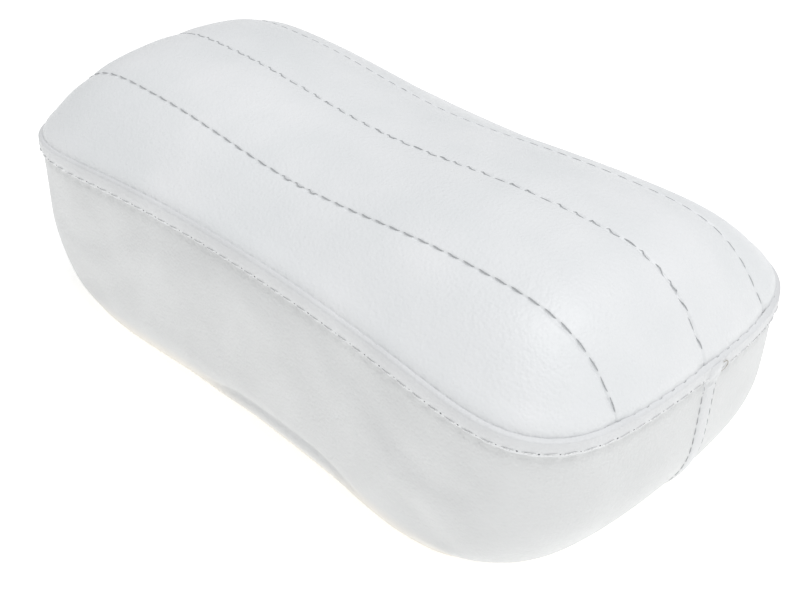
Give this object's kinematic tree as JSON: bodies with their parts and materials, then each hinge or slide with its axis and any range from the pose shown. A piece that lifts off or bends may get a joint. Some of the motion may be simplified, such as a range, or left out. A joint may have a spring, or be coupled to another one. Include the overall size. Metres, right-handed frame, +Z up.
{
  "type": "saddle rest cushion",
  "caption": "Saddle-shaped rest cushion for a treatment table: sewn faux-leather cover with panelled top and rolled edge strip over foam on a small base board.",
  "frame": {"origin": "on the floor, under the centre of the cushion's outline", "axes": "+X along the length towards the short end with the band's join, +Y across, with the band's join on the +Y side of the middle, +Z up"},
  "size_m": [0.2928, 0.145, 0.1062],
  "materials": {
    "cover_top": "white grained faux leather, soft satin",
    "cover_side": "white grained faux leather, soft satin",
    "edge_strip": "white grained faux leather, folded and topstitched",
    "grey_thread": "polyester sewing thread",
    "white_thread": "polyester sewing thread",
    "bottom_cloth": "plain warm white lining cloth",
    "plywood": "raw plywood",
    "staple_wire": "galvanised wire",
    "firm_foam": "open-cell polyurethane foam",
    "soft_foam": "soft open-cell foam sheet"
  },
  "bodies": {
    "root": {"top_panel_left": "cover_top", "top_panel_inner_left": "cover_top", "top_panel_inner_right": "cover_top", "top_panel_right": "cover_top", "side_band": "cover_side", "rolled_edge": "edge_strip", "band_join": "edge_strip", "stitches_top_left": "grey_thread", "stitches_top_right": "grey_thread", "stitches_edge_seam": "white_thread", "stitches_band_row": "white_thread", "stitches_top_middle": "grey_thread", "stitches_join_left": "grey_thread", "stitches_join_right": "grey_thread", "bottom_cloth": "bottom_cloth", "base_board": "plywood", "staples": "staple_wire", "foam_core": "firm_foam", "comfort_layer": "soft_foam"}
  },
  "joints": []
}
